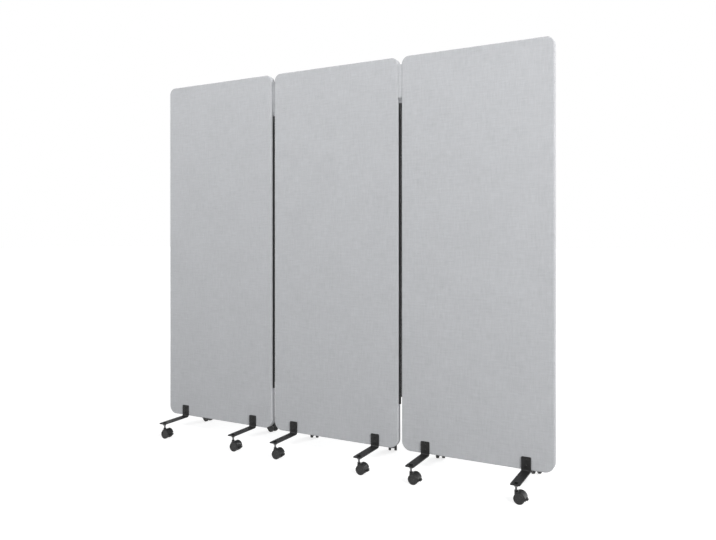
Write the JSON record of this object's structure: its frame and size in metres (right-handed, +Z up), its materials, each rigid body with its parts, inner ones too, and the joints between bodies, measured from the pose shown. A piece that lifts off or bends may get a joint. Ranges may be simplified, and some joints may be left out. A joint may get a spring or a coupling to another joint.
{
  "type": "rolling partition",
  "caption": "Tall rolling screen of flat fabric-covered panels with round corners, joined edge to edge by zips and standing on bent steel feet with twin-wheel swivel casters.",
  "frame": {"origin": "on the floor, in the middle of the row of panels and of their thickness", "axes": "+X along the row to the viewer's right, +Y from the front face to the back, +Z up"},
  "size_m": [1.868, 0.3758, 1.676],
  "materials": {
    "board": "raw",
    "cover_fabric": "heathered weave",
    "strip_steel": "fine powder coat",
    "black_fixings": "black oxide",
    "stem_steel": "zinc plated",
    "zip_tape": "woven tape with moulded teeth",
    "zip_metal": "black enamel",
    "hood_nylon": "moulded",
    "wheel_nylon": "moulded",
    "pedal_nylon": "moulded"
  },
  "bodies": {
    "middle_screen": {"middle_panel_board": "board", "middle_panel_cover": "cover_fabric", "middle_front_brackets": "strip_steel", "middle_rear_brackets": "strip_steel", "middle_bracket_screws": "black_fixings", "middle_sleeve_nuts": "black_fixings", "middle_caster_stems": "stem_steel", "left_zip_inner_tape": "zip_tape", "right_zip_inner_tape": "zip_tape"},
    "left_screen": {"left_panel_board": "board", "left_panel_cover": "cover_fabric", "left_front_brackets": "strip_steel", "left_rear_brackets": "strip_steel", "left_bracket_screws": "black_fixings", "left_sleeve_nuts": "black_fixings", "left_caster_stems": "stem_steel", "left_zip_outer_tape": "zip_tape"},
    "right_screen": {"right_panel_board": "board", "right_panel_cover": "cover_fabric", "right_front_brackets": "strip_steel", "right_rear_brackets": "strip_steel", "right_bracket_screws": "black_fixings", "right_sleeve_nuts": "black_fixings", "right_caster_stems": "stem_steel", "right_zip_outer_tape": "zip_tape"},
    "left_zip_slider": {"left_zip_slider": "zip_metal"},
    "right_zip_slider": {"right_zip_slider": "zip_metal"},
    "left_zip_pull": {"left_zip_pull": "zip_metal"},
    "right_zip_pull": {"right_zip_pull": "zip_metal"},
    "left_front_left_caster": {"left_front_left_caster_hood": "hood_nylon"},
    "left_front_left_wheels": {"left_front_left_caster_wheels": "wheel_nylon"},
    "left_front_left_pedal": {"left_front_left_brake_pedal": "pedal_nylon"},
    "left_front_right_caster": {"left_front_right_caster_hood": "hood_nylon"},
    "left_front_right_wheels": {"left_front_right_caster_wheels": "wheel_nylon"},
    "left_front_right_pedal": {"left_front_right_brake_pedal": "pedal_nylon"},
    "left_rear_left_caster": {"left_rear_left_caster_hood": "hood_nylon"},
    "left_rear_left_wheels": {"left_rear_left_caster_wheels": "wheel_nylon"},
    "left_rear_right_caster": {"left_rear_right_caster_hood": "hood_nylon"},
    "left_rear_right_wheels": {"left_rear_right_caster_wheels": "wheel_nylon"},
    "middle_front_left_caster": {"middle_front_left_caster_hood": "hood_nylon"},
    "middle_front_left_wheels": {"middle_front_left_caster_wheels": "wheel_nylon"},
    "middle_front_left_pedal": {"middle_front_left_brake_pedal": "pedal_nylon"},
    "middle_front_right_caster": {"middle_front_right_caster_hood": "hood_nylon"},
    "middle_front_right_wheels": {"middle_front_right_caster_wheels": "wheel_nylon"},
    "middle_front_right_pedal": {"middle_front_right_brake_pedal": "pedal_nylon"},
    "middle_rear_left_caster": {"middle_rear_left_caster_hood": "hood_nylon"},
    "middle_rear_left_wheels": {"middle_rear_left_caster_wheels": "wheel_nylon"},
    "middle_rear_right_caster": {"middle_rear_right_caster_hood": "hood_nylon"},
    "middle_rear_right_wheels": {"middle_rear_right_caster_wheels": "wheel_nylon"},
    "right_front_left_caster": {"right_front_left_caster_hood": "hood_nylon"},
    "right_front_left_wheels": {"right_front_left_caster_wheels": "wheel_nylon"},
    "right_front_left_pedal": {"right_front_left_brake_pedal": "pedal_nylon"},
    "right_front_right_caster": {"right_front_right_caster_hood": "hood_nylon"},
    "right_front_right_wheels": {"right_front_right_caster_wheels": "wheel_nylon"},
    "right_front_right_pedal": {"right_front_right_brake_pedal": "pedal_nylon"},
    "right_rear_left_caster": {"right_rear_left_caster_hood": "hood_nylon"},
    "right_rear_left_wheels": {"right_rear_left_caster_wheels": "wheel_nylon"},
    "right_rear_right_caster": {"right_rear_right_caster_hood": "hood_nylon"},
    "right_rear_right_wheels": {"right_rear_right_caster_wheels": "wheel_nylon"}
  },
  "joints": [
    {"name": "left_screen_fold", "type": "hinge", "parent": "middle_screen", "child": "left_screen", "pos_m": [-0.3145, 0, 0.874], "axis": [0, 0, 1], "range_deg": [-40, 40]},
    {"name": "right_screen_fold", "type": "hinge", "parent": "middle_screen", "child": "right_screen", "pos_m": [0.3145, 0, 0.874], "axis": [0, 0, 1], "range_deg": [-40, 40]},
    {"name": "left_zip_slide", "type": "slide", "parent": "middle_screen", "child": "left_zip_slider", "axis": [0, 0, 1], "range_m": [-1.176, 0]},
    {"name": "right_zip_slide", "type": "slide", "parent": "middle_screen", "child": "right_zip_slider", "axis": [0, 0, 1], "range_m": [-1.176, 0]},
    {"name": "left_pull_swing", "type": "hinge", "parent": "left_zip_slider", "child": "left_zip_pull", "pos_m": [-0.3145, -0.0065, 1.48], "axis": [1, 0, 0], "range_deg": [-175, 10]},
    {"name": "right_pull_swing", "type": "hinge", "parent": "right_zip_slider", "child": "right_zip_pull", "pos_m": [0.3145, -0.0065, 1.48], "axis": [1, 0, 0], "range_deg": [-175, 10]},
    {"name": "left_front_left_brake", "type": "hinge", "parent": "left_front_left_caster", "child": "left_front_left_pedal", "pos_m": [-0.80237, -0.158, 0.02933], "axis": [0, 1, 0], "range_deg": [0, 5]},
    {"name": "left_front_right_brake", "type": "hinge", "parent": "left_front_right_caster", "child": "left_front_right_pedal", "pos_m": [-0.39837, -0.158, 0.02933], "axis": [0, 1, 0], "range_deg": [0, 5]},
    {"name": "middle_front_left_brake", "type": "hinge", "parent": "middle_front_left_caster", "child": "middle_front_left_pedal", "pos_m": [-0.17337, -0.158, 0.02933], "axis": [0, 1, 0], "range_deg": [0, 5]},
    {"name": "middle_front_right_brake", "type": "hinge", "parent": "middle_front_right_caster", "child": "middle_front_right_pedal", "pos_m": [0.23063, -0.158, 0.02933], "axis": [0, 1, 0], "range_deg": [0, 5]},
    {"name": "right_front_left_brake", "type": "hinge", "parent": "right_front_left_caster", "child": "right_front_left_pedal", "pos_m": [0.45563, -0.158, 0.02933], "axis": [0, 1, 0], "range_deg": [0, 5]},
    {"name": "right_front_right_brake", "type": "hinge", "parent": "right_front_right_caster", "child": "right_front_right_pedal", "pos_m": [0.85963, -0.158, 0.02933], "axis": [0, 1, 0], "range_deg": [0, 5]},
    {"name": "left_front_left_swivel", "type": "hinge", "parent": "left_screen", "child": "left_front_left_caster", "pos_m": [-0.831, -0.158, 0.0445], "axis": [0, 0, 1], "continuous": true},
    {"name": "left_front_right_swivel", "type": "hinge", "parent": "left_screen", "child": "left_front_right_caster", "pos_m": [-0.427, -0.158, 0.0445], "axis": [0, 0, 1], "continuous": true},
    {"name": "left_rear_left_swivel", "type": "hinge", "parent": "left_screen", "child": "left_rear_left_caster", "pos_m": [-0.831, 0.158, 0.0445], "axis": [0, 0, 1], "continuous": true},
    {"name": "left_rear_right_swivel", "type": "hinge", "parent": "left_screen", "child": "left_rear_right_caster", "pos_m": [-0.427, 0.158, 0.0445], "axis": [0, 0, 1], "continuous": true},
    {"name": "middle_front_left_swivel", "type": "hinge", "parent": "middle_screen", "child": "middle_front_left_caster", "pos_m": [-0.202, -0.158, 0.0445], "axis": [0, 0, 1], "continuous": true},
    {"name": "middle_front_right_swivel", "type": "hinge", "parent": "middle_screen", "child": "middle_front_right_caster", "pos_m": [0.202, -0.158, 0.0445], "axis": [0, 0, 1], "continuous": true},
    {"name": "middle_rear_left_swivel", "type": "hinge", "parent": "middle_screen", "child": "middle_rear_left_caster", "pos_m": [-0.202, 0.158, 0.0445], "axis": [0, 0, 1], "continuous": true},
    {"name": "middle_rear_right_swivel", "type": "hinge", "parent": "middle_screen", "child": "middle_rear_right_caster", "pos_m": [0.202, 0.158, 0.0445], "axis": [0, 0, 1], "continuous": true},
    {"name": "right_front_left_swivel", "type": "hinge", "parent": "right_screen", "child": "right_front_left_caster", "pos_m": [0.427, -0.158, 0.0445], "axis": [0, 0, 1], "continuous": true},
    {"name": "right_front_right_swivel", "type": "hinge", "parent": "right_screen", "child": "right_front_right_caster", "pos_m": [0.831, -0.158, 0.0445], "axis": [0, 0, 1], "continuous": true},
    {"name": "right_rear_left_swivel", "type": "hinge", "parent": "right_screen", "child": "right_rear_left_caster", "pos_m": [0.427, 0.158, 0.0445], "axis": [0, 0, 1], "continuous": true},
    {"name": "right_rear_right_swivel", "type": "hinge", "parent": "right_screen", "child": "right_rear_right_caster", "pos_m": [0.831, 0.158, 0.0445], "axis": [0, 0, 1], "continuous": true},
    {"name": "left_front_left_roll", "type": "hinge", "parent": "left_front_left_caster", "child": "left_front_left_wheels", "pos_m": [-0.8173, -0.158, 0.02], "axis": [0, 1, 0], "continuous": true},
    {"name": "left_front_right_roll", "type": "hinge", "parent": "left_front_right_caster", "child": "left_front_right_wheels", "pos_m": [-0.4133, -0.158, 0.02], "axis": [0, 1, 0], "continuous": true},
    {"name": "left_rear_left_roll", "type": "hinge", "parent": "left_rear_left_caster", "child": "left_rear_left_wheels", "pos_m": [-0.84423, 0.16155, 0.02], "axis": [-0.2588, -0.9659, 0], "continuous": true},
    {"name": "left_rear_right_roll", "type": "hinge", "parent": "left_rear_right_caster", "child": "left_rear_right_wheels", "pos_m": [-0.44023, 0.16155, 0.02], "axis": [-0.2588, -0.9659, 0], "continuous": true},
    {"name": "middle_front_left_roll", "type": "hinge", "parent": "middle_front_left_caster", "child": "middle_front_left_wheels", "pos_m": [-0.1883, -0.158, 0.02], "axis": [0, 1, 0], "continuous": true},
    {"name": "middle_front_right_roll", "type": "hinge", "parent": "middle_front_right_caster", "child": "middle_front_right_wheels", "pos_m": [0.2157, -0.158, 0.02], "axis": [0, 1, 0], "continuous": true},
    {"name": "middle_rear_left_roll", "type": "hinge", "parent": "middle_rear_left_caster", "child": "middle_rear_left_wheels", "pos_m": [-0.20779, 0.17042, 0.02], "axis": [-0.9063, -0.4226, 0], "continuous": true},
    {"name": "middle_rear_right_roll", "type": "hinge", "parent": "middle_rear_right_caster", "child": "middle_rear_right_wheels", "pos_m": [0.19621, 0.17042, 0.02], "axis": [-0.9063, -0.4226, 0], "continuous": true},
    {"name": "right_front_left_roll", "type": "hinge", "parent": "right_front_left_caster", "child": "right_front_left_wheels", "pos_m": [0.4407, -0.158, 0.02], "axis": [0, 1, 0], "continuous": true},
    {"name": "right_front_right_roll", "type": "hinge", "parent": "right_front_right_caster", "child": "right_front_right_wheels", "pos_m": [0.8447, -0.158, 0.02], "axis": [0, 1, 0], "continuous": true},
    {"name": "right_rear_left_roll", "type": "hinge", "parent": "right_rear_left_caster", "child": "right_rear_left_wheels", "pos_m": [0.42015, 0.16986, 0.02], "axis": [-0.866, -0.5, 0], "continuous": true},
    {"name": "right_rear_right_roll", "type": "hinge", "parent": "right_rear_right_caster", "child": "right_rear_right_wheels", "pos_m": [0.82415, 0.16986, 0.02], "axis": [-0.866, -0.5, 0], "continuous": true}
  ]
}
